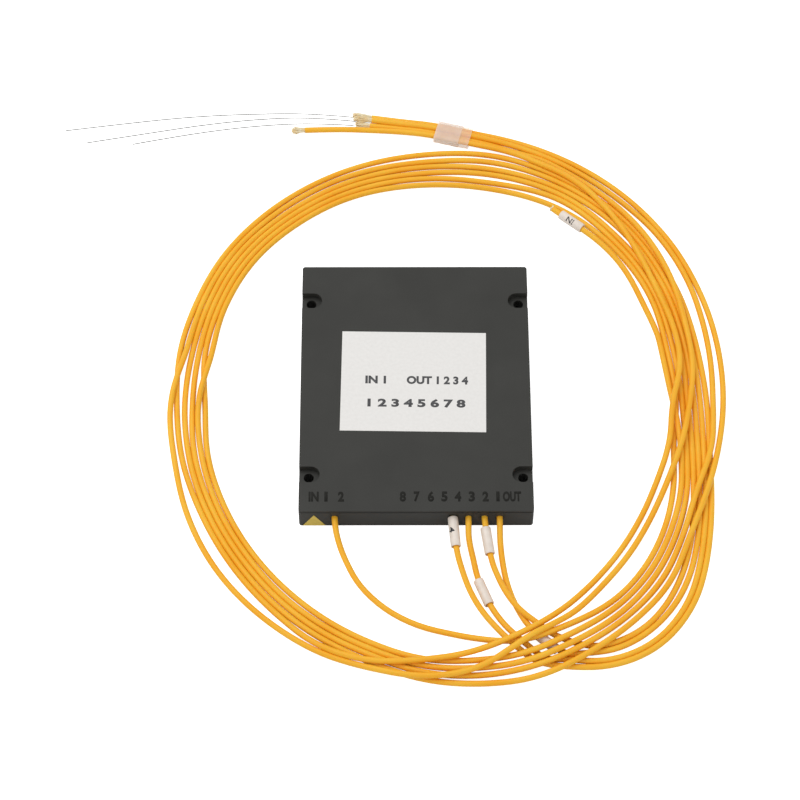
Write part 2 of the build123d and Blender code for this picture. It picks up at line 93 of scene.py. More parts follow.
class Recipe:
    """One material while it is made: its node tree and the shader that gets the finish."""

    def __init__(self, name: str) -> None:
        """Start a material.

        Args:
            name: The material's name.
        """
        self.material = bpy.data.materials.new(name)
        self.material.use_nodes = True
        self.tree = self.material.node_tree
        self.shader = self.tree.nodes["Principled BSDF"]

    def node(self, kind: str, **settings: object) -> bpy.types.Node:
        """Add a node and set its own properties.

        Args:
            kind: Blender's name for the node's type, without ShaderNode in front.
            **settings: Properties of the node.

        Returns:
            The new node.
        """
        made = self.tree.nodes.new("ShaderNode" + kind)
        for name, value in settings.items():
            setattr(made, name, value)
        return made

    def link(self, source: bpy.types.NodeSocket, target: bpy.types.NodeSocket) -> None:
        """Join an output to an input."""
        self.tree.links.new(source, target)

    def set(self, **values: object) -> None:
        """Set the shader's own sockets, named with underscores for spaces."""
        for name, value in values.items():
            self.shader.inputs[name.replace("_", " ")].default_value = value

    def noise(self, scale: float, detail: float = 2.0, roughness: float = 0.5) -> bpy.types.Node:
        """Add a noise texture on Object coordinates.

        Args:
            scale: Waves in a metre.
            detail: Octaves of finer noise.
            roughness: Strength of the finer octaves.

        Returns:
            The noise node.
        """
        place = self.node("TexCoord")
        made = self.node("TexNoise")
        made.inputs["Scale"].default_value = scale
        made.inputs["Detail"].default_value = detail
        made.inputs["Roughness"].default_value = roughness
        self.link(place.outputs["Object"], made.inputs["Vector"])
        return made

    def ramp(
        self, source: bpy.types.NodeSocket, stops: Sequence[tuple[float, Sequence[float]]]
    ) -> bpy.types.Node:
        """Turn a value into a colour by stops.

        Args:
            source: The value to turn.
            stops: Pairs of place, 0 to 1, and linear colour.

        Returns:
            The ramp node.
        """
        made = self.node("ValToRGB")
        elements = made.color_ramp.elements
        while len(elements) < len(stops):
            elements.new(0.5)
        for element, (place, colour) in zip(elements, stops):
            element.position = place
            element.color = colour
        self.link(source, made.inputs["Fac"])
        return made

    def spread(self, source: bpy.types.NodeSocket, low: float, high: float) -> bpy.types.Node:
        """Stretch a 0 to 1 value over a range.

        Args:
            source: The value to stretch.
            low: Result at 0.
            high: Result at 1.

        Returns:
            The map range node.
        """
        made = self.node("MapRange")
        made.inputs["To Min"].default_value = low
        made.inputs["To Max"].default_value = high
        self.link(source, made.inputs["Value"])
        return made

    def bump(self, height: bpy.types.NodeSocket, strength: float, depth: float) -> bpy.types.Node:
        """Give the shader a bump.

        Args:
            height: The height value.
            strength: Share of the bump, 0 to 1.
            depth: Depth of the bump in metres.

        Returns:
            The bump node.
        """
        made = self.node("Bump")
        made.inputs["Strength"].default_value = strength
        made.inputs["Distance"].default_value = depth
        self.link(height, made.inputs["Height"])
        self.link(made.outputs["Normal"], self.shader.inputs["Normal"])
        return made


@dataclass(frozen=True)
class MouldedPlastic:
    """Black moulded plastic with the fine grain of a spark-eroded tool."""

    name: str = "moulded_plastic"
    face: tuple = linear(46, 46, 43)
    worn: tuple = linear(54, 54, 51)
    grain_scale: float = 2600.0
    cloud_scale: float = 60.0
    grain_strength: float = 0.5
    grain_depth: float = 0.00006
    tone_span: tuple[float, float] = (0.12, 0.42)
    roughness: tuple[float, float] = (0.46, 0.6)
    ior: float = 1.48
    gloss: float = 0.3

    def make(self) -> bpy.types.Material:
        """Make the material.

        Returns:
            The material.
        """
        recipe = Recipe(self.name)
        grain = recipe.noise(self.grain_scale, detail=3.0, roughness=0.6)
        cloud = recipe.noise(self.cloud_scale, detail=2.0)
        mixed = recipe.node("Math", operation="MULTIPLY")
        recipe.link(grain.outputs["Fac"], mixed.inputs[0])
        recipe.link(cloud.outputs["Fac"], mixed.inputs[1])
        low, high = self.tone_span
        tone = recipe.ramp(mixed.outputs[0], [(low, self.face), (high, self.worn)])
        recipe.link(tone.outputs["Color"], recipe.shader.inputs["Base Color"])
        sheen = recipe.spread(grain.outputs["Fac"], *self.roughness)
        recipe.link(sheen.outputs["Result"], recipe.shader.inputs["Roughness"])
        recipe.bump(grain.outputs["Fac"], self.grain_strength, self.grain_depth)
        recipe.set(IOR=self.ior, Specular_IOR_Level=self.gloss)
        return recipe.material


@dataclass(frozen=True)
class LabelPaper:
    """White coated label paper with a faint mottle."""

    name: str = "white_paper"
    light: tuple = linear(238, 236, 233)
    dark: tuple = linear(233, 231, 228)
    mottle_scale: float = 900.0
    mottle_strength: float = 0.1
    mottle_depth: float = 0.00001
    roughness: float = 0.55
    ior: float = 1.45

    def make(self) -> bpy.types.Material:
        """Make the material.

        Returns:
            The material.
        """
        recipe = Recipe(self.name)
        mottle = recipe.noise(self.mottle_scale, detail=4.0)
        tone = recipe.ramp(mottle.outputs["Fac"], [(0.3, self.dark), (0.7, self.light)])
        recipe.link(tone.outputs["Color"], recipe.shader.inputs["Base Color"])
        recipe.bump(mottle.outputs["Fac"], self.mottle_strength, self.mottle_depth)
        recipe.set(Roughness=self.roughness, IOR=self.ior)
        return recipe.material


@dataclass(frozen=True)
class Mottled:
    """Plain finish whose colour drifts softly between two shades."""

    name: str
    first: tuple
    second: tuple
    scale: float = 400.0
    roughness: float = 0.5
    metallic: float = 0.0
    depth: float = 0.00002
    bump: float = 0.3
    gloss: float = 0.5
    cover: float = 1.0

    def make(self) -> bpy.types.Material:
        """Make the material.

        Returns:
            The material.
        """
        recipe = Recipe(self.name)
        mottle = recipe.noise(self.scale, detail=3.0)
        tone = recipe.ramp(mottle.outputs["Fac"], [(0.35, self.first), (0.65, self.second)])
        recipe.link(tone.outputs["Color"], recipe.shader.inputs["Base Color"])
        recipe.bump(mottle.outputs["Fac"], self.bump, self.depth)
        recipe.set(Roughness=self.roughness, Metallic=self.metallic)
        recipe.set(Specular_IOR_Level=self.gloss, Alpha=self.cover)
        return recipe.material


@dataclass(frozen=True)
class ClearGlass:
    """Polished optical glass."""

    name: str
    tint: tuple
    roughness: float = 0.05
    ripple_scale: float = 300.0
    clearness: float = 0.9
    ior: float = 1.46

    def make(self) -> bpy.types.Material:
        """Make the material.

        Returns:
            The material.
        """
        recipe = Recipe(self.name)
        ripple = recipe.noise(self.ripple_scale)
        tone = recipe.ramp(ripple.outputs["Fac"], [(0.3, self.tint), (0.7, linear(255, 255, 255))])
        recipe.link(tone.outputs["Color"], recipe.shader.inputs["Base Color"])
        recipe.set(Roughness=self.roughness, Transmission_Weight=self.clearness, IOR=self.ior)
        return recipe.material


@dataclass(frozen=True)
class CordJacket:
    """Soft yellow jacket of a fibre cord, slightly uneven in colour along its length."""

    name: str = "soft_jacket"
    light: tuple = linear(253, 194, 58)
    dark: tuple = linear(250, 177, 36)
    drift_scale: float = 55.0
    skin_scale: float = 1800.0
    skin_strength: float = 0.25
    skin_depth: float = 0.00003
    roughness: tuple[float, float] = (0.36, 0.48)
    ior: float = 1.5
    gloss: float = 0.25
    softness: float = 0.1
    soft_depth: float = 0.001

    def make(self) -> bpy.types.Material:
        """Make the material.

        Returns:
            The material.
        """
        recipe = Recipe(self.name)
        drift = recipe.noise(self.drift_scale, detail=3.0)
        skin = recipe.noise(self.skin_scale, detail=2.0)
        tone = recipe.ramp(drift.outputs["Fac"], [(0.3, self.dark), (0.7, self.light)])
        recipe.link(tone.outputs["Color"], recipe.shader.inputs["Base Color"])
        sheen = recipe.spread(skin.outputs["Fac"], *self.roughness)
        recipe.link(sheen.outputs["Result"], recipe.shader.inputs["Roughness"])
        recipe.bump(skin.outputs["Fac"], self.skin_strength, self.skin_depth)
        recipe.set(IOR=self.ior, Specular_IOR_Level=self.gloss)
        recipe.set(Subsurface_Weight=self.softness, Subsurface_Scale=self.soft_depth)
        return recipe.material


@dataclass(frozen=True)
class ClearTape:
    """Thin clear tape with a faint milky tint, and lighter patches that are painted glints."""

    name: str = "tape_film"
    tint: tuple = linear(240, 222, 206)
    cover: float = 0.62
    # painted highlight: lighter colour that the cloud noise mixes in as glints on the crumpled tape
    painted_glint: tuple = linear(248, 236, 226)
    cloud_scale: float = 260.0
    cloud_strength: float = 0.4
    cloud_depth: float = 0.0002
    roughness: float = 0.28
    ior: float = 1.4

    def make(self) -> bpy.types.Material:
        """Make the material.

        Returns:
            The material.
        """
        recipe = Recipe(self.name)
        cloud = recipe.noise(self.cloud_scale, detail=3.0)
        tone = recipe.ramp(cloud.outputs["Fac"], [(0.3, self.tint), (0.7, self.painted_glint)])
        recipe.link(tone.outputs["Color"], recipe.shader.inputs["Base Color"])
        recipe.bump(cloud.outputs["Fac"], self.cloud_strength, self.cloud_depth)
        recipe.set(Roughness=self.roughness, Alpha=self.cover, IOR=self.ior)
        return recipe.material


class Finish(Enum):
    """The finishes of the parts, each made once."""

    PLASTIC = MouldedPlastic()
    LABEL = LabelPaper()
    STICKER = Mottled("yellow_film", linear(208, 184, 84), linear(216, 192, 94), roughness=0.5, gloss=0.3)
    RUBBER = Mottled("soft_rubber", linear(44, 42, 36), linear(52, 50, 43), roughness=0.75)
    JACKET = CordJacket()
    BUFFER = Mottled("buffer_skin", linear(238, 238, 232), linear(246, 246, 240), roughness=0.4)
    SLEEVE = Mottled("sleeve_plastic", linear(232, 220, 208), linear(240, 229, 218), roughness=0.42)
    YARN = Mottled("yarn_strands", linear(252, 226, 172), linear(255, 244, 212), roughness=0.8, cover=0.8)
    # both tape films carry the tape's painted glints
    TAPE = ClearTape()
    STRIP = ClearTape("tape_strip_film", linear(250, 226, 190), 0.4)
    FIBRE = Mottled(
        "fibre_glass", linear(64, 64, 62), linear(104, 104, 100),
        scale=24.0, roughness=0.5, gloss=0.2,
    )
    FOAM = Mottled(
        "soft_foam", linear(60, 62, 66), linear(84, 86, 90),
        scale=2200.0, roughness=0.9, depth=0.0002,
    )
    STEEL = Mottled(
        "drawn_steel", linear(176, 178, 180), linear(196, 198, 200),
        scale=1200.0, roughness=0.3, metallic=1.0,
    )
    GLASS = ClearGlass("optical_glass", linear(228, 240, 238))
    SILICA = ClearGlass("silica_wafer", linear(220, 226, 240), roughness=0.1)
    INK = Mottled("print_ink", linear(34, 34, 36), linear(44, 44, 46), scale=3000.0, roughness=0.6)
    GREY_INK = Mottled("label_ink", linear(66, 66, 68), linear(78, 78, 80), scale=3000.0, roughness=0.6)
    # painted shade: the moulded legend is the box's own plastic, and this darker, less glossy colour
    # stands in for the shade in its letters
    LEGEND = Mottled(
        "legend_face", linear(34, 34, 31), linear(42, 42, 39),
        scale=3000.0, roughness=0.7, gloss=0.1,
    )

    def material(self) -> bpy.types.Material:
        """The finish's material, made the first time it is asked for."""
        made = bpy.data.materials.get(self.value.name)
        return made or self.value.make()


def dress(piece: bpy.types.Object, finish: Finish) -> None:
    """Give a piece one finish all over."""
    piece.data.materials.clear()
    piece.data.materials.append(finish.material())


def deselect_all() -> None:
    """Leave nothing selected, so that an operator acts only on what comes next."""
    for item in bpy.context.selected_objects:
        item.select_set(False)


def pick(piece: bpy.types.Object) -> None:
    """Select one object alone and make it the active one."""
    deselect_all()
    piece.select_set(True)
    bpy.context.view_layer.objects.active = piece


@dataclass
class Studio:
    """Camera at the photograph's angle, soft light and a white floor."""

    elevation: float = 58.58
    azimuth: float = 0.37
    roll: float = 0.255
    distance: float = 1.00315
    target: Point = (-0.005355, 0.00032, 0.0)
    lens: float = 128.56
    sensor: float = 36.0
    floor_size: float = 6.0
    sky_strength: float = 0.7
    key_power: float = 10.5
    key_size: float = 1.2
    key_place: Point = (-0.7, 0.5, 1.6)
    floor_tone: float = 0.9
    floor_glow: float = 0.85

    def build(self) -> None:
        """Build the camera, the light and the floor."""
        self.add_camera()
        self.add_sky()
        self.add_key_light()
        self.add_floor()
        bpy.context.scene.view_settings.view_transform = "Standard"

    def add_camera(self) -> None:
        """Place the camera that the photograph was taken with."""
        rise, turn = math.radians(self.elevation), math.radians(self.azimuth)
        level = math.cos(rise)
        ahead = Vector((math.sin(turn) * level, math.cos(turn) * level, -math.sin(rise)))
        side = ahead.cross(Vector((0, 0, 1))).normalized()
        up = side.cross(ahead)
        lean = math.radians(self.roll)
        right = side * math.cos(lean) + up * math.sin(lean)
        top = up * math.cos(lean) - side * math.sin(lean)
        data = bpy.data.cameras.new("camera")
        data.lens = self.lens
        data.sensor_width = self.sensor
        camera = bpy.data.objects.new("camera", data)
        bpy.context.scene.collection.objects.link(camera)
        turned = Matrix((right, top, -ahead)).transposed().to_4x4()
        eye = Vector(self.target) - ahead * self.distance
        camera.matrix_world = Matrix.Translation(eye) @ turned
        bpy.context.scene.camera = camera

    def add_sky(self) -> None:
        """Light from all round, which the camera and reflections see as white."""
        world = bpy.data.worlds.new("sky")
        world.use_nodes = True
        tree = world.node_tree
        back = tree.nodes["Background"]
        back.inputs["Color"].default_value = (1, 1, 1, 1)
        seen = seen_rays(tree)
        level = tree.nodes.new("ShaderNodeMapRange")
        level.inputs["To Min"].default_value = self.sky_strength
        level.inputs["To Max"].default_value = 1.0
        tree.links.new(seen, level.inputs["Value"])
        tree.links.new(level.outputs["Result"], back.inputs["Strength"])
        bpy.context.scene.world = world

    def add_key_light(self) -> None:
        """One large soft lamp above."""
        data = bpy.data.lights.new("key", "AREA")
        data.energy = self.key_power
        data.size = self.key_size
        lamp = bpy.data.objects.new("key", data)
        lamp.location = self.key_place
        lamp.rotation_euler = (-Vector(self.key_place)).to_track_quat("-Z", "Y").to_euler()
        bpy.context.scene.collection.objects.link(lamp)

    def add_floor(self) -> None:
        """White floor that keeps the object's soft shadow."""
        deselect_all()
        bpy.ops.mesh.primitive_plane_add(size=self.floor_size)
        floor = bpy.context.object
        floor.name = "floor"
        material = bpy.data.materials.new("floor")
        material.use_nodes = True
        tree = material.node_tree
        shader = tree.nodes["Principled BSDF"]
        shader.inputs["Base Color"].default_value = (*[self.floor_tone] * 3, 1)
        shader.inputs["Roughness"].default_value = 1.0
        shader.inputs["Specular IOR Level"].default_value = 0.0
        shader.inputs["Emission Color"].default_value = (1, 1, 1, 1)
        path = tree.nodes.new("ShaderNodeLightPath")
        glow = tree.nodes.new("ShaderNodeMath")
        glow.operation = "MULTIPLY"
        glow.inputs[1].default_value = self.floor_glow
        tree.links.new(path.outputs["Is Camera Ray"], glow.inputs[0])
        tree.links.new(glow.outputs[0], shader.inputs["Emission Strength"])
        floor.data.materials.append(material)


def seen_rays(tree: bpy.types.NodeTree) -> bpy.types.NodeSocket:
    """Value that is 1 for what the camera sees straight, mirrored or through glass, else 0.

    Args:
        tree: The node tree to add it to.

    Returns:
        The socket with the value.
    """
    path = tree.nodes.new("ShaderNodeLightPath")
    value = path.outputs["Is Camera Ray"]
    for name in ("Is Glossy Ray", "Is Transmission Ray"):
        most = tree.nodes.new("ShaderNodeMath")
        most.operation = "MAXIMUM"
        tree.links.new(value, most.inputs[0])
        tree.links.new(path.outputs[name], most.inputs[1])
        value = most.outputs[0]
    return value


@dataclass(frozen=True)
class Word:
    """One word in print or relief: what it says, and its middle and width in millimetres."""

    says: str
    x: float
    width: float


@dataclass
class Housing:
    """The moulded box with its raised legend, its printed label and its yellow index triangle."""

    legend_size: float = 3.5
    legend_line: float = -44.25
    legend_rise: float = 0.06
    legend_weight: float = 0.42
    legend: tuple[Word, ...] = (
        Word("IN", -34.87, 3.4), Word("1", -30.66, 1.1), Word("2", -25.56, 2.0), Word("8", -4.55, 2.1),
        Word("7", 0.2, 2.0), Word("6", 5.0, 2.1), Word("5", 9.6, 2.1), Word("4", 14.2, 2.2),
        Word("3", 18.9, 2.1), Word("2", 23.6, 2.1), Word("1", 27.8, 1.1), Word("OUT", 32.6, 6.2),
    )
    label_place: Point = (-0.65, 1.8, 10.12)
    label_turn: float = -0.9
    print_size: float = 2.9
    print_weight: float = 0.38
    print_rise: float = 0.015
    print_lines: tuple = (
        (0.5, (Word("IN 1", -13.2, 7.2), Word("OUT 1 2 3 4", 8.3, 21.4))),
        (-8.9, (Word("1 2 3 4 5 6 7 8", 1.1, 34.0),)),
    )

    def build(self, nodes: dict[str, bpy.types.Object]) -> None:
        """Dress the shells and add the legend and the print.

        Args:
            nodes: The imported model's nodes by name.
        """
        for name in ("housing_base", "housing_cover"):
            dress(nodes[name], Finish.PLASTIC)
        dress(nodes["face_label"], Finish.LABEL)
        dress(nodes["index_sticker"], Finish.STICKER)
        self.add_legend()
        self.add_print()
        log.info("housing dressed, %d legend marks", len(self.legend))

    def add_legend(self) -> None:
        """Raise the port numbers along the front edge, darker than the box with painted shade."""
        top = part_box("housing_cover")[1].z
        for number, word in enumerate(self.legend):
            piece = flat_text(f"legend_{number}", word, self.legend_size, self.legend_weight)
            place = Matrix.Translation((word.x * MM, self.legend_line * MM, top))
            put_flat(piece, place, self.legend_rise)
            # the legend's darker finish is painted shade
            dress(piece, Finish.LEGEND)
            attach(piece, BODY)

    def add_print(self) -> None:
        """Print the label's two lines, which lean with it."""
        x, y, height = self.label_place
        label = Matrix.Translation((x * MM, y * MM, height * MM)) @ Matrix.Rotation(
            math.radians(self.label_turn), 4, "Z"
        )
        for line, (level, words) in enumerate(self.print_lines):
            for number, word in enumerate(words):
                piece = flat_text(f"print_{line}_{number}", word, self.print_size, self.print_weight)
                place = label @ Matrix.Translation((word.x * MM, level * MM, 0))
                put_flat(piece, place, self.print_rise)
                dress(piece, Finish.GREY_INK)
                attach(piece, BODY)


def flat_text(name: str, word: Word, size: float, weight: float) -> bpy.types.Object:
    """Make a word as a flat mesh round the origin.

    Args:
        name: The piece's name.
        word: The word, with its width.
        size: Height of a capital letter, in millimetres.
        weight: How much the strokes are fattened, in millimetres.

    Returns:
        The mesh object, lying in the XY plane.
    """
    data = bpy.data.curves.new(name, "FONT")
    data.body = word.says
    data.align_x = "CENTER"
    data.align_y = "CENTER"
    data.size = size * MM / CAPITAL_SHARE
    data.offset = weight / 2 * MM
    data.resolution_u = 4
    piece = bpy.data.objects.new(name, data)
    bpy.context.scene.collection.objects.link(piece)
    pick(piece)
    bpy.ops.object.convert(target="MESH")
    piece = bpy.context.object
    piece.scale.x = word.width * MM / piece.dimensions.x
    bpy.ops.object.transform_apply(location=False, rotation=False, scale=True)
    bpy.ops.object.origin_set(type="ORIGIN_GEOMETRY", center="BOUNDS")
    piece.location = (0, 0, 0)
    return piece


def put_flat(piece: bpy.types.Object, place: Matrix, rise: float) -> None:
    """Give a flat mesh a thickness and move it to its place.

    Args:
        piece: The flat mesh.
        place: Where its middle goes, its underside at that height.
        rise: Its thickness, in millimetres.
    """
    pick(piece)
    bpy.ops.object.mode_set(mode="EDIT")
    bpy.ops.mesh.select_all(action="SELECT")
    bpy.ops.mesh.extrude_region_move(TRANSFORM_OT_translate={"value": (0, 0, rise * MM)})
    bpy.ops.mesh.select_all(action="SELECT")
    bpy.ops.mesh.normals_make_consistent(inside=False)
    bpy.ops.object.mode_set(mode="OBJECT")
    piece.matrix_world = place
    bpy.ops.object.transform_apply(location=True, rotation=True, scale=True)


@dataclass
class CoilFrame:
    """The middle that the loose turns go round, and the sizes that the cords lie by."""

    centre: tuple[float, float] = (2.0, -3.0)
    cord_radius: float = 1.0
    sleeve_radius: float = 1.75
    sleeve_half: float = 4.8
    layer: float = 2.05
    step: float = 5.0
    bundle_height: float = 1.25
    bundle_lift: float = 0.9
    bundle_pitch: float = 1.8
    bundle_radius: float = 116.9
    wrap_middle: tuple[float, float] = (15.0, 114.8)
    wrap_turn: float = 164.8
    wrap_reach: tuple[float, float] = (-8.25, 8.75)
    tail_angle: float = 72.0
    tail_straight: float = 9.0
    input_angle: float = 20.0
    input_radius: float = 89.6
    input_straight: float = 13.0

    def polar(self, angle: float, radius: float, height: float) -> Point:
        """Point round the coil's middle.

        Args:
            angle: Its angle, in degrees.
            radius: How far from the middle, in millimetres.
            height: Its height, in millimetres.

        Returns:
            The point, in millimetres.
        """
        turn = math.radians(angle)
        x = self.centre[0] + radius * math.cos(turn)
        y = self.centre[1] + radius * math.sin(turn)
        return (x, y, height)

    def ahead(self, angle: float, radius: float, distance: float, height: float) -> Point:
        """Point straight ahead, the way the turns run, of a point round the middle.

        Args:
            angle: The first point's angle, in degrees.
            radius: The first point's radius, in millimetres.
            distance: How far ahead, in millimetres.
            height: Its height, in millimetres.

        Returns:
            The point, in millimetres.
        """
        turn = math.radians(angle)
        x, y, _ = self.polar(angle, radius, height)
        return (x - distance * math.sin(turn), y + distance * math.cos(turn), height)

    def wrap_point(self, along: float, offset: float, height: float) -> Point:
        """Point of the taped bundle.

        Args:
            along: How far along the bundle from the tape's middle, in millimetres.
            offset: How far sideways, towards the coil's outside, in millimetres.
            height: Its height, in millimetres.

        Returns:
            The point, in millimetres.
        """
        turn = math.radians(self.wrap_turn)
        x = self.wrap_middle[0] + along * math.cos(turn) + offset * math.sin(turn)
        y = self.wrap_middle[1] + along * math.sin(turn) - offset * math.cos(turn)
        return (x, y, height)


FRAME = CoilFrame()

# the outputs' last places on the floor, outermost cord first: the cut ends and the bends before them
JACKET_ENDS = ((-15.5, 122.9), (-15.5, 121.1), (-16.2, 119.2), (-40.4, 117.2))
LAST_BENDS = ((-4.0, 121.0), (-4.0, 119.3), (-4.0, 117.6), (-6.0, 115.9))
# two more bends of the cord with the long jacket
LONG_JACKET = ((-17.0, 117.2), (-28.6, 117.7))


def output_end(index: int) -> list[Point]:
    """Route of one output cord from the coil through the tape to its cut jacket.

    Args:
        index: Its place in the flat bundle, 0 outermost.

    Returns:
        The route's points, in millimetres.
    """
    offset = FRAME.bundle_pitch * (1.5 - index)
    radius = FRAME.bundle_radius + offset
    height = FRAME.bundle_height + FRAME.bundle_lift * (index % 2)
    route = [
        FRAME.polar(FRAME.tail_angle, radius, height),
        FRAME.ahead(FRAME.tail_angle, radius, FRAME.tail_straight, height),
        FRAME.wrap_point(FRAME.wrap_reach[0], offset, height),
        FRAME.wrap_point(FRAME.wrap_reach[1], offset, height),
        (*LAST_BENDS[index], height),
    ]
    if index == len(JACKET_ENDS) - 1:
        height = FRAME.bundle_height
        route += [(*place, height) for place in LONG_JACKET]
    return route + [(*JACKET_ENDS[index], height)]


@dataclass
class Route:
    """One cord's way: its lead, its loose turns and its last stretch, in millimetres.

    The turns are stations of angle, radius and layer, and a loop works out the points between.
    Sleeves are pairs of point numbers that a sleeve sits between, which stay where they are.
    """

    name: str
    lead: list[Point]
    turns: list[Station]
    end: list[Point]
    end_held: int
    sleeves: list[tuple[int, int]] = field(default_factory=list)
    lead_held: int = 3

    def radius_at(self, angles: np.ndarray) -> np.ndarray:
        """Radius at each angle, on a smooth curve through the stations.

        Args:
            angles: Angles round the coil's middle, in degrees.

        Returns:
            The radii, in millimetres.
        """
        at = np.array([station[0] for station in self.turns], float)
        radius = np.array([station[1] for station in self.turns], float)
        slope = np.gradient(radius, at)
        k = np.clip(np.searchsorted(at, angles, side="right") - 1, 0, len(at) - 2)
        width = at[k + 1] - at[k]
        t = (angles - at[k]) / width
        start = (1 + 2 * t) * (1 - t) ** 2 * radius[k] + t * (1 - t) ** 2 * width * slope[k]
        finish = t ** 2 * (3 - 2 * t) * radius[k + 1] + t ** 2 * (t - 1) * width * slope[k + 1]
        return start + finish

    def points(self) -> np.ndarray:
        """All the route's points before the cords settle on one another.

        Returns:
            The points, in millimetres, one row each.
        """
        first, last = self.turns[0][0], self.turns[-1][0]
        angles = np.linspace(first, last, round((last - first) / FRAME.step) + 1)
        layers = np.interp(angles, [s[0] for s in self.turns], [s[2] for s in self.turns])
        heights = FRAME.cord_radius + FRAME.layer * layers
        turns = [FRAME.polar(*row) for row in zip(angles, self.radius_at(angles), heights)]
        return np.array(self.lead + turns + self.end, float)


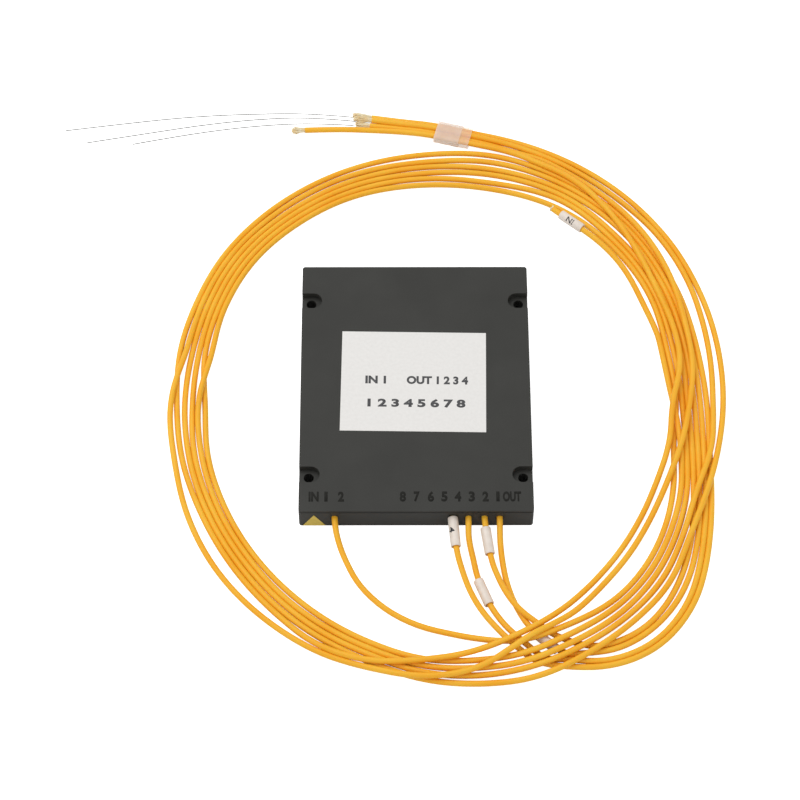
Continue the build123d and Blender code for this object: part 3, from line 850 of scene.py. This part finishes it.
ROUTES = [
    Route(
        "output_cord_1",
        [(28.45, -43.7, 5.7), (28.45, -51.6, 5.7), (28.4, -59.0, 4.4), (29.2, -66.2, 2.4),
         (30.5, -73.2, 1.0), (33.1, -80.8, 1.0), (37.5, -90.1, 1.75), (48.6, -100.0, 1.75)],
        [(299, 109.9, 0.08), (304, 113.8, 0.03), (310, 115.1, 0.01), (320, 114, 0),
         (330, 108.4, 0), (340, 101.7, 0), (350, 97.3, 0.01), (360, 95.7, 0.05),
         (375, 97, 0.38), (390, 101.1, 0.44), (405, 105.8, 0.06), (420, 107.2, 0),
         (435, 106, 0), (450, 103.2, 0), (465, 99.9, 0), (480, 95.6, 0), (495, 92, 0),
         (510, 87.3, 0), (525, 83.9, 0), (540, 82.6, 0), (555, 82.5, 0), (570, 84.7, 0),
         (585, 88.2, 0), (600, 93.4, 0), (610, 97.2, 0), (620, 101.2, 0), (630, 106, 0.02),
         (640, 109.3, 0.24), (650, 112, 0.71), (660, 111.5, 1.05), (670, 110.5, 0.84),
         (680, 109.3, 0.78), (690, 105.3, 0.96), (700, 104.1, 1.04), (710, 104.4, 0.68),
         (720, 105.8, 0.22), (730, 107.5, 0.04), (740, 109.5, 0), (750, 111.5, 0),
         (760, 113.9, 0), (770, 116.7, 0), (780, 118.6, 0), (787, 119.3, 0.01)],
        output_end(0), 4, [(6, 7)],
    ),
    Route(
        "output_cord_2",
        [(23.13, -43.7, 5.7), (23.13, -51.6, 5.7), (25.1, -65.5, 4.9), (26.7, -72.3, 3.7),
         (29.0, -79.5, 3.35), (32.5, -86.6, 3.35), (37.8, -91.8, 3.1), (44.6, -95.9, 1.2)],
        [(300, 111.1, 0.07), (304, 113.5, 0.01), (310, 115.2, 0), (320, 112.1, 0),
         (330, 105.9, 0), (340, 99.4, 0), (350, 95.4, 0), (360, 93.8, 0), (375, 95.9, 0),
         (390, 99.3, 0), (405, 101.6, 0), (420, 104.4, 0), (435, 103.4, 0), (450, 100.5, 0),
         (465, 97.9, 0), (480, 94, 0), (495, 90.2, 0), (510, 85.4, 0), (525, 81.5, 0),
         (540, 80.3, 0), (555, 81.9, 0), (570, 83.3, 0), (585, 86.3, 0), (600, 91.1, 0),
         (610, 94.8, 0), (620, 98.4, 0.01), (630, 103.1, 0.07), (640, 106, 0.32),
         (650, 107.5, 0.81), (660, 107.7, 1.11), (670, 107.4, 0.73), (680, 106.3, 0.57),
         (690, 103, 0.75), (700, 100.7, 1.02), (710, 102, 0.94), (720, 102.1, 0.45),
         (730, 104.2, 0.12), (740, 107.3, 0.02), (750, 111.3, 0), (760, 114.3, 0),
         (770, 115.1, 0), (780, 116.4, 0), (787, 117.1, 0.01)],
        output_end(1), 4,
    ),
    Route(
        "output_cord_3",
        [(17.81, -43.7, 5.7), (17.81, -51.6, 5.7), (17.7, -57.7, 4.5), (19.3, -64.9, 2.6),
         (20.6, -71.5, 1.75), (24.7, -81.9, 1.75), (29.5, -88.9, 1.0), (35.7, -94.4, 1.0),
         (42.3, -100.0, 1.0)],
        [(296, 106.4, 0.01), (302, 114.5, 0), (310, 119.5, 0), (320, 117.5, 0),
         (330, 110.1, 0), (340, 103.6, 0), (350, 99.2, 0), (360, 97.7, 0), (375, 98.8, 0),
         (390, 102.5, 0), (405, 106.7, 0), (420, 109.1, 0), (435, 109.1, 0), (450, 105.5, 0),
         (465, 102.6, 0), (480, 98.3, 0), (495, 93.9, 0), (510, 89, 0.11), (525, 85.5, 0.68),
         (540, 87.6, 0.68), (555, 88.3, 0.1), (570, 91.7, 0), (585, 95.6, 0),
         (600, 99.1, 0.02), (610, 101.4, 0.11), (620, 102.9, 0.46), (630, 105.2, 0.99),
         (640, 104.7, 1.51), (650, 99.8, 1.92), (660, 97.9, 1.29), (670, 94, 0.65),
         (680, 91.8, 0.33), (690, 90.3, 0.39), (700, 90, 0.83), (710, 91.3, 1.42),
         (720, 93.7, 1.21), (730, 97.4, 1.03), (740, 100, 0.99), (750, 104.2, 0.99),
         (760, 107.8, 0.8), (770, 110.8, 0.44), (780, 114.1, 0.15), (787, 116.4, 0.05)],
        output_end(2), 4, [(4, 5)],
    ),
    Route(
        "output_cord_4",
        [(12.49, -43.7, 5.7), (12.49, -50.8, 5.7), (13.5, -62.2, 4.9), (15.4, -69.3, 3.0),
         (18.0, -76.8, 1.4), (22.0, -83.8, 1.0), (27.8, -90.5, 1.0), (33.6, -95.8, 1.0),
         (40.0, -101.0, 1.0)],
        [(296, 111, 0), (302, 117.9, 0), (310, 121.9, 0), (320, 119.4, 0), (330, 112.1, 0),
         (340, 105.4, 0), (350, 101, 0), (360, 99.6, 0), (375, 99.8, 0), (390, 103.2, 0),
         (405, 108.2, 0), (420, 111.2, 0), (435, 112.2, 0), (450, 108.9, 0), (465, 105.2, 0),
         (480, 100.6, 0), (495, 95.5, 0), (510, 90.7, 0), (525, 88, 0), (540, 85.5, 0),
         (555, 85.5, 0), (570, 86.5, 0), (585, 90.2, 0.01), (600, 95.6, 0.14),
         (610, 100.1, 0.49), (620, 101.3, 0.97), (630, 99.5, 1.14), (640, 98.5, 1.43),
         (650, 96.4, 1.76), (660, 93.5, 1.24), (670, 90.5, 0.52), (680, 88.5, 0.15),
         (690, 87.2, 0.11), (700, 86.8, 0.38), (710, 88, 1.01), (720, 88.7, 1.72),
         (730, 93.4, 1.37), (740, 95.7, 1.03), (750, 97.7, 0.96), (760, 102, 1.03),
         (770, 107.3, 1.04), (780, 111.8, 0.92), (787, 112.8, 0.61)],
        output_end(3), 6,
    ),
    Route(
        "input_cord",
        [(-27.9, -43.7, 5.7), (-27.9, -51.6, 5.7), (-26.5, -58.8, 4.4), (-23.6, -66.5, 2.2),
         (-19.2, -74.8, 1.0), (-10.7, -83.3, 1.0), (0.5, -89.5, 1.0), (13.6, -92.7, 1.0)],
        [(281, 92.6, 0.58), (290, 97.9, 1.63), (300, 99.1, 0.83), (310, 100.1, 0.23),
         (320, 98.8, 0.24), (330, 96.1, 0.05), (340, 92.7, 0), (350, 89.5, 0), (360, 90.2, 0),
         (375, 91.7, 0), (390, 96.6, 0), (405, 98.5, 0), (420, 99.1, 0), (435, 97.1, 0),
         (450, 95.3, 0), (465, 93.5, 0), (480, 90.2, 0), (495, 86.9, 0), (510, 82.1, 0.11),
         (525, 77, 0.71), (540, 78, 0.64), (555, 78.8, 0.09), (570, 80.9, 0), (585, 84.1, 0),
         (600, 89, 0), (610, 92.5, 0), (620, 96.3, 0.01), (630, 100.8, 0.08),
         (640, 103.6, 0.37), (650, 106, 0.93), (660, 105.9, 1.13), (670, 105.3, 0.51),
         (680, 103.6, 0.13), (690, 100.8, 0.02), (700, 97.8, 0), (710, 93.7, 0),
         (720, 91.4, 0), (735, 92.5, 0.5), (750, 96.9, 1), (765, 99.6, 0.5), (780, 102.6, 0),
         (795, 99.7, 0), (810, 98.1, 0), (825, 95.6, 0), (840, 92.2, 0), (855, 88.6, 0),
         (870, 83.5, 0), (885, 79.3, 0), (900, 75.6, 0), (915, 76.7, 0), (930, 78.6, 0),
         (945, 81.9, 0), (960, 86.5, 0), (970, 90.2, 0), (980, 94.1, 0.02), (990, 98.3, 0.13),
         (1000, 100.7, 0.53), (1010, 103.1, 1.36), (1020, 102.9, 1.45), (1030, 102.7, 0.65),
         (1040, 101.3, 0.2), (1050, 98.7, 0.04), (1060, 96, 0.08), (1070, 92, 0.48),
         (1080, 88.3, 0.79), (1090, 87.7, 0.28), (1096, 88.6, 0.13)],
        [FRAME.polar(FRAME.input_angle, FRAME.input_radius, 1.0),
         FRAME.ahead(FRAME.input_angle, FRAME.input_radius, FRAME.input_straight, 1.0),
         FRAME.polar(36.5, 93.2, 1.2), FRAME.polar(43.5, 94.6, 2.4),
         (62.0, 70.9, 2.6), (50.6, 80.4, 2.6)],
        3, [(-2, -1)],
    ),
]


def spline_weights(count: int, per_span: int) -> np.ndarray:
    """Weights that turn control points into points of an open quadratic spline.

    Args:
        count: Number of control points.
        per_span: Curve points in each span.

    Returns:
        One row of weights for each curve point.
    """
    spans = count - 2
    knots = np.concatenate([[0, 0], np.arange(spans + 1), [spans, spans]]).astype(float)
    places = np.linspace(0, spans, spans * per_span + 1)
    rows = np.zeros((len(places), count))
    for row, place in enumerate(places):
        k = min(int(place), spans - 1) + 2
        early = (place - knots[k - 1]) / (knots[k + 1] - knots[k - 1])
        late = (place - knots[k]) / (knots[k + 2] - knots[k])
        share = (place - knots[k]) / (knots[k + 1] - knots[k])
        rows[row, k - 2] = (1 - early) * (1 - share)
        rows[row, k - 1] = early * (1 - share) + (1 - late) * share
        rows[row, k] = late * share
    return rows


class Pile:
    """The cords as they settle: each lies on the floor or on the cords under it."""

    gap = 0.02
    rounds = 400
    last_rounds = 60
    pull = 0.03
    weight = 0.03
    ease = 1.6
    look_every = 20
    reach = 7.0
    own_apart = 8
    per_span = 2
    loose_share = 0.35
    last_share = 0.1
    least_area = 1e-9
    least_length = 1e-6

    def __init__(self, routes: Sequence[Route]) -> None:
        """Lay the routes out as they are drawn.

        Args:
            routes: The cords' routes.
        """
        laid = [route.points() for route in routes]
        self.target = np.concatenate(laid)
        self.points = self.target.copy()
        self.starts = np.cumsum([0] + [len(points) for points in laid])
        self.free = np.ones(len(self.points))
        blocks = [spline_weights(len(points), self.per_span) for points in laid]
        rows = sum(len(block) for block in blocks)
        self.weights = np.zeros((rows, len(self.points)))
        self.radius = np.full(rows, FRAME.cord_radius)
        self.cord = np.concatenate([np.full(len(block), k) for k, block in enumerate(blocks)])
        self.place = np.concatenate([np.arange(len(block)) for block in blocks])
        row = 0
        for k, (route, points, block) in enumerate(zip(routes, laid, blocks)):
            start, stop = self.starts[k], self.starts[k + 1]
            self.free[start:start + route.lead_held] = 0
            self.free[stop - route.end_held:stop] = 0
            self.weights[row:row + len(block), start:stop] = block
            for before, after in route.sleeves:
                before, after = before % len(points), after % len(points)
                self.free[[start + before, start + after]] = 0
                middle = (points[before] + points[after]) / 2
                near = np.linalg.norm(block @ points - middle, axis=1) < FRAME.sleeve_half
                self.radius[row:row + len(block)][near] = FRAME.sleeve_radius
            row += len(block)
        self.spans = np.flatnonzero(self.cord[:-1] == self.cord[1:])

    def neighbours(self) -> tuple[np.ndarray, np.ndarray]:
        """Pairs of curve stretches that lie near each other.

        Returns:
            The first and the second stretch of each pair, by its first curve point.
        """
        line = self.weights @ self.points
        first, second = line[self.spans], line[self.spans + 1]
        middle = (first + second) / 2
        half = np.linalg.norm(second - first, axis=1) / 2
        apart = np.linalg.norm(middle[:, None] - middle[None], axis=2)
        near = np.triu(apart < half[:, None] + half[None] + self.reach, 1)
        one, other = (self.spans[found] for found in np.nonzero(near))
        same = self.cord[one] == self.cord[other]
        close = np.abs(self.place[one] - self.place[other]) < self.own_apart
        keep = ~(same & close)
        return one[keep], other[keep]

    def meetings(
        self, line: np.ndarray, one: np.ndarray, other: np.ndarray
    ) -> tuple[np.ndarray, np.ndarray, np.ndarray]:
        """Where two stretches come closest.

        Args:
            line: The curve points.
            one: First stretch of each pair.
            other: Second stretch of each pair.

        Returns:
            The share along each stretch and the way from the second to the first.
        """
        along, across = line[one + 1] - line[one], line[other + 1] - line[other]
        between = line[one] - line[other]
        a, e = np.sum(along * along, 1), np.sum(across * across, 1)
        b, c = np.sum(along * across, 1), np.sum(along * between, 1)
        f = np.sum(across * between, 1)
        spare = a * e - b * b
        level = spare < self.least_area
        s = np.clip(np.where(level, 0.5, (b * f - c * e) / np.where(level, 1, spare)), 0, 1)
        t = np.clip((b * s + f) / e, 0, 1)
        s = np.clip((b * t - c) / a, 0, 1)
        away = (line[one] + along * s[:, None]) - (line[other] + across * t[:, None])
        return s, t, away

    def part(self, one: np.ndarray, other: np.ndarray) -> None:
        """Push stretches that overlap apart.

        Args:
            one: First stretch of each pair.
            other: Second stretch of each pair.
        """
        line = self.weights @ self.points
        s, t, away = self.meetings(line, one, other)
        apart = np.linalg.norm(away, axis=1)
        thick = np.maximum(self.radius[one], self.radius[one + 1])
        need = thick + np.maximum(self.radius[other], self.radius[other + 1]) + self.gap
        hit = apart < need
        push = away[hit] * ((need - apart) / (2 * np.maximum(apart, self.least_length)))[hit, None]
        move = np.zeros_like(line)
        count = np.zeros(len(line))
        one, other, s, t = one[hit], other[hit], s[hit], t[hit]
        ends = ((one, 1 - s, 1), (one + 1, s, 1), (other, 1 - t, -1), (other + 1, t, -1))
        for at, share, sign in ends:
            np.add.at(move, at, sign * push * share[:, None])
            np.add.at(count, at, share)
        move /= np.maximum(count, 1)[:, None]
        self.points += self.ease * (self.weights.T @ move) * self.free[:, None]

    def straighten(self, share: float) -> None:
        """Spread each cord's bends along it, because a jacket doesn't kink.

        Args:
            share: How far towards smooth, 0 to 1.
        """
        for start, stop in zip(self.starts, self.starts[1:]):
            shift = self.points[start:stop] - self.target[start:stop]
            shift[:, 2] = self.points[start:stop, 2]
            smooth = shift.copy()
            smooth[1:-1] = (shift[:-2] + 2 * shift[1:-1] + shift[2:]) / 4
            self.points[start:stop] += (smooth - shift) * share * self.free[start:stop, None]

    def settle(self) -> list[np.ndarray]:
        """Let the cords settle.

        Returns:
            Each cord's points.
        """
        for turn in range(self.rounds):
            if turn % self.look_every == 0:
                one, other = self.neighbours()
            self.part(one, other)
            if turn < self.rounds - self.last_rounds:
                back = self.pull * (self.target - self.points)[:, :2]
                self.points[:, :2] += back * self.free[:, None]
                self.points[:, 2] -= self.weight * self.free
                self.straighten(self.loose_share)
            else:
                self.straighten(self.last_share)
            low = (self.points[:, 2] < FRAME.cord_radius) & (self.free > 0)
            self.points[low, 2] = FRAME.cord_radius
        return [self.points[a:b] for a, b in zip(self.starts, self.starts[1:])]


def curve_length(points: np.ndarray) -> float:
    """Length in metres of the smooth line that millimetre control points make."""
    line = spline_weights(len(points), LENGTH_STEPS) @ points
    return float(np.linalg.norm(np.diff(line, axis=0), axis=1).sum()) * MM


def smooth_line(name: str, points: Sequence[Point], radius: float, sides: int) -> bpy.types.Object:
    """Make a round cord along one open NURBS spline.

    Args:
        name: The piece's name.
        points: Control points, in millimetres.
        radius: The cord's radius, in metres.
        sides: Blender's bevel resolution, which sets how round it is.

    Returns:
        The curve object.
    """
    data = bpy.data.curves.new(name, "CURVE")
    data.dimensions = "3D"
    data.bevel_depth = radius
    data.bevel_resolution = sides
    data.use_fill_caps = True
    data.resolution_u = CURVE_STEPS
    spline = data.splines.new("NURBS")
    spline.points.add(len(points) - 1)
    for control, place in zip(spline.points, points):
        control.co = (*(Vector(place) * MM), 1.0)
    spline.order_u = 3
    spline.use_endpoint_u = True
    piece = bpy.data.objects.new(name, data)
    bpy.context.scene.collection.objects.link(piece)
    return piece


@dataclass
class Cords:
    """The five cords, from their ports through the loose coil to their cut ends."""

    diameter: float = 2.0
    swell: float = 0.08
    sides: int = 6
    port_y: float = -50.0
    port_height: float = 5.7

    def build(self, with_pieces: dict[str, list[bpy.types.Object]]) -> None:
        """Settle the cords and make each one.

        Args:
            with_pieces: For each cord's name, the separate pieces on it; not used.
        """
        settled = Pile(ROUTES).settle()
        for route, points in zip(ROUTES, settled):
            cord = smooth_line(route.name, points, (self.diameter + self.swell) / 2 * MM, self.sides)
            dress(cord, Finish.JACKET)
            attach(cord, BODY)
            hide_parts(*self.nodes_of(route.name))
            curve_length(points)
            log.info("%s: %.0f mm", route.name, curve_length(points) / MM)

    def nodes_of(self, name: str) -> list[str]:
        """CAD nodes that a cord stands for.

        Args:
            name: The cord's name.

        Returns:
            The nodes' names.
        """
        if name == "input_cord":
            return ["input_lead", "cord_coil", "input_end"]
        number = name[-1]
        return [f"output_lead_{number}", "cord_coil", f"output_end_{number}"]


@dataclass
class BareFibres:
    """The bare fibres that stand out of three of the cut jackets."""

    diameter: float = 0.3
    start_out: float = 6.12
    start_shift: float = 0.2
    dip: float = 0.8
    routes: tuple = (
        ((-38.0, 125.4), (-60.0, 125.6), (-82.0, 124.4), (-106.0, 121.4), (-129.5, 117.9)),
        ((-38.0, 123.6), (-58.0, 123.2), (-78.0, 120.6), (-99.0, 116.6), (-121.3, 112.3)),
        ((-38.0, 120.9), (-57.0, 120.2), (-73.0, 118.0), (-89.0, 115.0), (-104.3, 111.6)),
    )

    def build(self) -> None:
        """Make the fibres as cords of their own."""
        rest = self.diameter / 2
        for index, bends in enumerate(self.routes):
            x, y = JACKET_ENDS[index]
            heights = [FRAME.bundle_height, self.dip] + [rest] * (len(bends) - 1)
            flat = [(x - self.start_out, y + self.start_shift), *bends]
            points = [(*place, height) for place, height in zip(flat, heights)]
            fibre = smooth_line(f"bare_fibre_{index + 1}_line", points, rest * MM, 2)
            dress(fibre, Finish.FIBRE)
            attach(fibre, BODY)
            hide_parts(f"bare_fibre_{index + 1}")
            curve_length(np.array(points))
        log.info("%d bare fibres", len(self.routes))


@dataclass(frozen=True)
class Mark:
    """A word printed on a sleeve.

    Its middle lies a way along the sleeve and a turn round it from straight up, in millimetres
    and degrees, and spin turns it on the spot.
    """

    word: Word
    size: float
    along: float
    turn: float
    spin: float


@dataclass
class Sleeve:
    """A printed plastic sleeve threaded on a cord, with rounded rims."""

    tail: str
    before: Point
    after: Point
    share: float = 0.5
    mark: Mark | None = None
    diameter: float = 3.5
    bore: float = 2.5
    length: float = 9.9
    rim: float = 0.3
    sides: int = 48
    film: float = 0.02
    stroke: float = 0.12
    mark_cuts: int = 3

    def frame(self) -> Matrix:
        """Where the sleeve lies: its Z along the cord, its X level and its Y upwards.

        Returns:
            The sleeve's place and turn, in metres.
        """
        first, last = Vector(self.before), Vector(self.after)
        along = (last - first).normalized()
        side = Vector((0, 0, 1)).cross(along).normalized()
        up = along.cross(side)
        turned = Matrix((side, up, along)).transposed().to_4x4()
        return Matrix.Translation((first + (last - first) * self.share) * MM) @ turned

    def build(self) -> list[bpy.types.Object]:
        """Make the sleeve and its print.

        Returns:
            The pieces, the sleeve first.
        """
        deselect_all()
        bpy.ops.mesh.primitive_cylinder_add(
            vertices=self.sides, radius=self.diameter / 2 * MM, depth=self.length * MM,
            end_fill_type="NOTHING",
        )
        tube = bpy.context.object
        tube.name = f"sleeve_{self.tail}"
        wall = tube.modifiers.new("wall", "SOLIDIFY")
        wall.thickness = (self.diameter - self.bore) / 2 * MM
        wall.offset = -1
        rims = tube.modifiers.new("rims", "BEVEL")
        rims.width = self.rim * MM
        rims.segments = 3
        rims.limit_method = "ANGLE"
        rims.angle_limit = math.radians(50)
        for name in ("wall", "rims"):
            bpy.ops.object.modifier_apply(modifier=name)
        bpy.ops.object.shade_smooth_by_angle(angle=math.radians(35))
        tube.matrix_world = self.frame()
        bpy.ops.object.transform_apply(location=True, rotation=True, scale=True)
        dress(tube, Finish.SLEEVE)
        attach(tube, BODY)
        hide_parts(f"tag_sleeve_{self.tail}")
        return [tube] + ([self.add_mark(tube)] if self.mark else [])

    def add_mark(self, tube: bpy.types.Object) -> bpy.types.Object:
        """Print the mark on the sleeve's skin.

        Args:
            tube: The finished sleeve, which the print is laid on.

        Returns:
            The print.
        """
        mark = self.mark
        piece = flat_text(f"sleeve_{self.tail}_print", mark.word, mark.size, self.stroke)
        pick(piece)
        bpy.ops.object.mode_set(mode="EDIT")
        bpy.ops.mesh.select_all(action="SELECT")
        bpy.ops.mesh.subdivide(number_cuts=self.mark_cuts)
        bpy.ops.object.mode_set(mode="OBJECT")
        upright = Matrix(((0, 0, 1), (1, 0, 0), (0, 1, 0))).transposed().to_4x4()
        round_axis = Matrix.Rotation(math.radians(mark.turn), 4, "Z")
        out = Matrix.Translation((0, self.diameter / 2 * MM, mark.along * MM))
        spin = Matrix.Rotation(math.radians(mark.spin), 4, "Z")
        piece.matrix_world = self.frame() @ round_axis @ out @ upright @ spin
        bpy.ops.object.transform_apply(location=True, rotation=True, scale=True)
        wrap = piece.modifiers.new("wrap", "SHRINKWRAP")
        wrap.target = tube
        wrap.wrap_mode = "ABOVE_SURFACE"
        wrap.offset = self.film * MM
        bpy.ops.object.modifier_apply(modifier="wrap")
        dress(piece, Finish.INK)
        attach(piece, BODY)
        return piece


@dataclass
class TapeWrap:
    """Clear tape folded round the four output ends: a crumpled main part and a thin strip."""

    height: float = 3.3
    width: float = 8.9
    corner: float = 1.2
    corner_steps: int = 5
    main_reach: tuple[float, float] = (-2.6, 6.75)
    strip_reach: tuple[float, float] = (-6.4, -2.4)
    strip_width: float = 8.6
    strip_drop: float = 0.1
    shift: float = -0.35
    lift: float = 0.05
    cuts: int = 15
    crumple: float = 0.3
    crumple_size: float = 2.6
    crumple_level: float = 0.6

    def build(self) -> list[bpy.types.Object]:
        """Make both parts of the tape.

        Returns:
            The parts.
        """
        main = self.film("tape_film", self.main_reach, self.width, self.height, Finish.TAPE)
        low = self.height - self.strip_drop
        strip = self.film("tape_strip", self.strip_reach, self.strip_width, low, Finish.STRIP)
        for piece in (main, strip):
            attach(piece, BODY)
            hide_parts("tape_wrap")
        log.info("tape folded")
        return [main, strip]

    def film(
        self, name: str, reach: tuple[float, float], width: float, height: float, finish: Finish
    ) -> bpy.types.Object:
        """Make a flat sleeve of film round the taped bundle.

        Args:
            name: The piece's name.
            reach: Where it starts and ends along the bundle.
            width: Its width across the bundle.
            height: Its height.
            finish: What it is made of.

        Returns:
            The piece.
        """
        deselect_all()
        bpy.ops.mesh.primitive_cube_add(size=1)
        piece = bpy.context.object
        piece.name = name
        piece.scale = ((reach[1] - reach[0]) * MM, width * MM, height * MM)
        bpy.ops.object.transform_apply(location=False, rotation=False, scale=True)
        edge = piece.modifiers.new("edge", "BEVEL")
        edge.width = self.corner * MM
        edge.segments = self.corner_steps
        edge.limit_method = "WEIGHT"
        weights = piece.data.attributes.new("bevel_weight_edge", "FLOAT", "EDGE")
        for line in piece.data.edges:
            ends = [piece.data.vertices[corner].co for corner in line.vertices]
            weights.data[line.index].value = float(abs(ends[0].x - ends[1].x) > 1e-6)
        bpy.ops.object.modifier_apply(modifier="edge")
        bpy.ops.object.mode_set(mode="EDIT")
        bpy.ops.mesh.select_mode(type="FACE")
        bpy.ops.mesh.select_all(action="DESELECT")
        bpy.ops.object.mode_set(mode="OBJECT")
        for face in piece.data.polygons:
            face.select = abs(face.normal.x) > 0.9
        bpy.ops.object.mode_set(mode="EDIT")
        bpy.ops.mesh.delete(type="FACE")
        bpy.ops.mesh.select_all(action="SELECT")
        bpy.ops.mesh.subdivide(number_cuts=self.cuts)
        bpy.ops.object.mode_set(mode="OBJECT")
        folds = bpy.data.textures.new(name, "CLOUDS")
        folds.noise_scale = self.crumple_size * MM
        ruffle = piece.modifiers.new("ruffle", "DISPLACE")
        ruffle.texture = folds
        ruffle.strength = self.crumple * MM
        ruffle.mid_level = self.crumple_level
        ruffle.texture_coords = "LOCAL"
        bpy.ops.object.modifier_apply(modifier="ruffle")
        bpy.ops.object.shade_smooth()
        x, y, _ = FRAME.wrap_point((reach[0] + reach[1]) / 2, self.shift, 0)
        place = Matrix.Translation((x * MM, y * MM, height / 2 * MM + self.lift * MM))
        piece.matrix_world = place @ Matrix.Rotation(math.radians(FRAME.wrap_turn), 4, "Z")
        bpy.ops.object.transform_apply(location=True, rotation=True, scale=True)
        dress(piece, finish)
        return piece


@dataclass
class YarnTuft:
    """Strands of strength yarn that fan out of a cut jacket."""

    tail: str
    end: Point
    before: Point
    length: float = 6.0
    spread: float = 1.5
    strands: int = 60
    strand_radius: float = 0.19
    root: float = 0.75
    shortest: float = 0.6
    fan: float = 1.4
    stray: float = 0.4
    drop_fan: float = 1.1
    sag: tuple[float, float] = (-0.7, 0.2)
    bow: float = 0.3
    hump: float = 0.1
    inside: float = 0.4
    clear: float = 0.05

    def build(self) -> bpy.types.Object:
        """Make the strands.

        Returns:
            The tuft.
        """
        chance = random.Random(f"tuft {self.tail}")
        along = (Vector(self.end) - Vector(self.before)).normalized()
        side = Vector((0, 0, 1)).cross(along).normalized()
        data = bpy.data.curves.new(f"tuft_{self.tail}", "CURVE")
        data.dimensions = "3D"
        data.bevel_depth = self.strand_radius * MM
        data.bevel_resolution = 1
        data.resolution_u = 3
        for _ in range(self.strands):
            turn, out = chance.uniform(0, 2 * math.pi), self.root * math.sqrt(chance.random())
            lean, drop = math.cos(turn) * out, math.sin(turn) * out
            reach = self.length * chance.uniform(self.shortest, 1.0)
            sway = lean * self.fan + chance.uniform(-self.stray, self.stray) * self.spread
            lowest = self.strand_radius - self.end[2] + self.clear
            sink = max(lowest, drop * self.drop_fan + chance.uniform(*self.sag))
            start = Vector(self.end) + side * lean + Vector((0, 0, drop))
            middle = start + along * reach / 2 + side * (sway - lean) * self.bow
            middle += Vector((0, 0, self.hump))
            tip = Vector(self.end) + along * reach + side * sway + Vector((0, 0, sink))
            line = data.splines.new("NURBS")
            line.points.add(3)
            for control, place in zip(line.points, (start - along * self.inside, start, middle, tip)):
                control.co = (*(place * MM), 1.0)
            line.order_u = 3
            line.use_endpoint_u = True
        piece = bpy.data.objects.new(f"tuft_{self.tail}", data)
        bpy.context.scene.collection.objects.link(piece)
        pick(piece)
        bpy.ops.object.convert(target="MESH")
        piece = bpy.context.object
        dress(piece, Finish.YARN)
        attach(piece, BODY)
        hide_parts(f"yarn_tuft_{self.tail}")
        return piece


class InnerParts:
    """What the closed box holds, and the seals in its ports, each with its own finish."""

    finishes: dict[str, Finish] = {
        "port_seal": Finish.RUBBER,
        "buffer_tube": Finish.BUFFER,
        "fibre_store": Finish.BUFFER,
        "module_pad": Finish.FOAM,
        "module_tube": Finish.STEEL,
        "module_cap": Finish.RUBBER,
        "module_bed": Finish.RUBBER,
        "output_array": Finish.GLASS,
        "input_array": Finish.GLASS,
        "splitter_chip": Finish.SILICA,
        "input_pigtail": Finish.BUFFER,
        "output_ribbon": Finish.BUFFER,
    }

    def build(self, nodes: dict[str, bpy.types.Object]) -> None:
        """Dress the nodes by the start of their names.

        Args:
            nodes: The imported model's nodes by name.
        """
        for name, node in nodes.items():
            for start, finish in self.finishes.items():
                if name.startswith(start):
                    dress(node, finish)
        log.info("inner parts dressed")


class CordFittings:
    """The separate pieces on the cords: their sleeves, the print on them and the yarn at their ends.

    A sleeve's run is the number of the lead's point before it and its share of the way to the next.
    """

    sleeve_runs: dict[str, tuple[int, float]] = {
        "1": (6, 0.5), "2": (1, 0.53), "3": (4, 0.5), "4": (1, 0.417),
    }
    input_share: float = 0.412
    sleeve_lengths: dict[str, float] = {"4": 10.9}
    marks: dict[str, Mark] = {
        "4": Mark(Word("4", 0, 2.1), 2.2, -0.4, 32.0, 0.0),
        "in": Mark(Word("IN", 0, 2.9), 2.3, 0.2, -32.0, 0.0),
    }
    tuft_lengths: dict[str, float] = {"in": 0.8, "1": 7.4, "2": 7.0, "3": 5.6, "4": 5.0}
    tuft_spreads: dict[str, float] = {"4": 2.4}

    def build(self, route: Route) -> list[bpy.types.Object]:
        """Make the pieces on one cord.

        Args:
            route: The cord's route.

        Returns:
            The pieces.
        """
        is_input = route.name == "input_cord"
        tail = "in" if is_input else route.name[-1]
        if is_input:
            before, after, share = route.end[-2], route.end[-1], self.input_share
        else:
            run, share = self.sleeve_runs[tail]
            before, after = route.lead[run], route.lead[run + 1]
        sleeve = Sleeve(tail, before, after, share, self.marks.get(tail))
        sleeve.length = self.sleeve_lengths.get(tail, sleeve.length)
        tuft = YarnTuft(tail, route.end[-1], route.end[-2], self.tuft_lengths[tail])
        tuft.spread = self.tuft_spreads.get(tail, tuft.spread)
        pieces = sleeve.build() + [tuft.build()]
        log.info("%s: %d pieces on it", route.name, len(pieces))
        return pieces


def main() -> None:
    """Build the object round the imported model."""
    logging.basicConfig(level=logging.INFO, format="%(name)s: %(message)s")
    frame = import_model()
    nodes = frame["nodes"]
    Studio().build()
    fittings = CordFittings()
    pieces = {route.name: fittings.build(route) for route in ROUTES}
    pieces[ROUTES[0].name] += TapeWrap().build()
    Cords().build(pieces)
    BareFibres().build()
    InnerParts().build(nodes)
    Housing().build(nodes)
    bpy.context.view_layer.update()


if __name__ == "__main__":
    main()
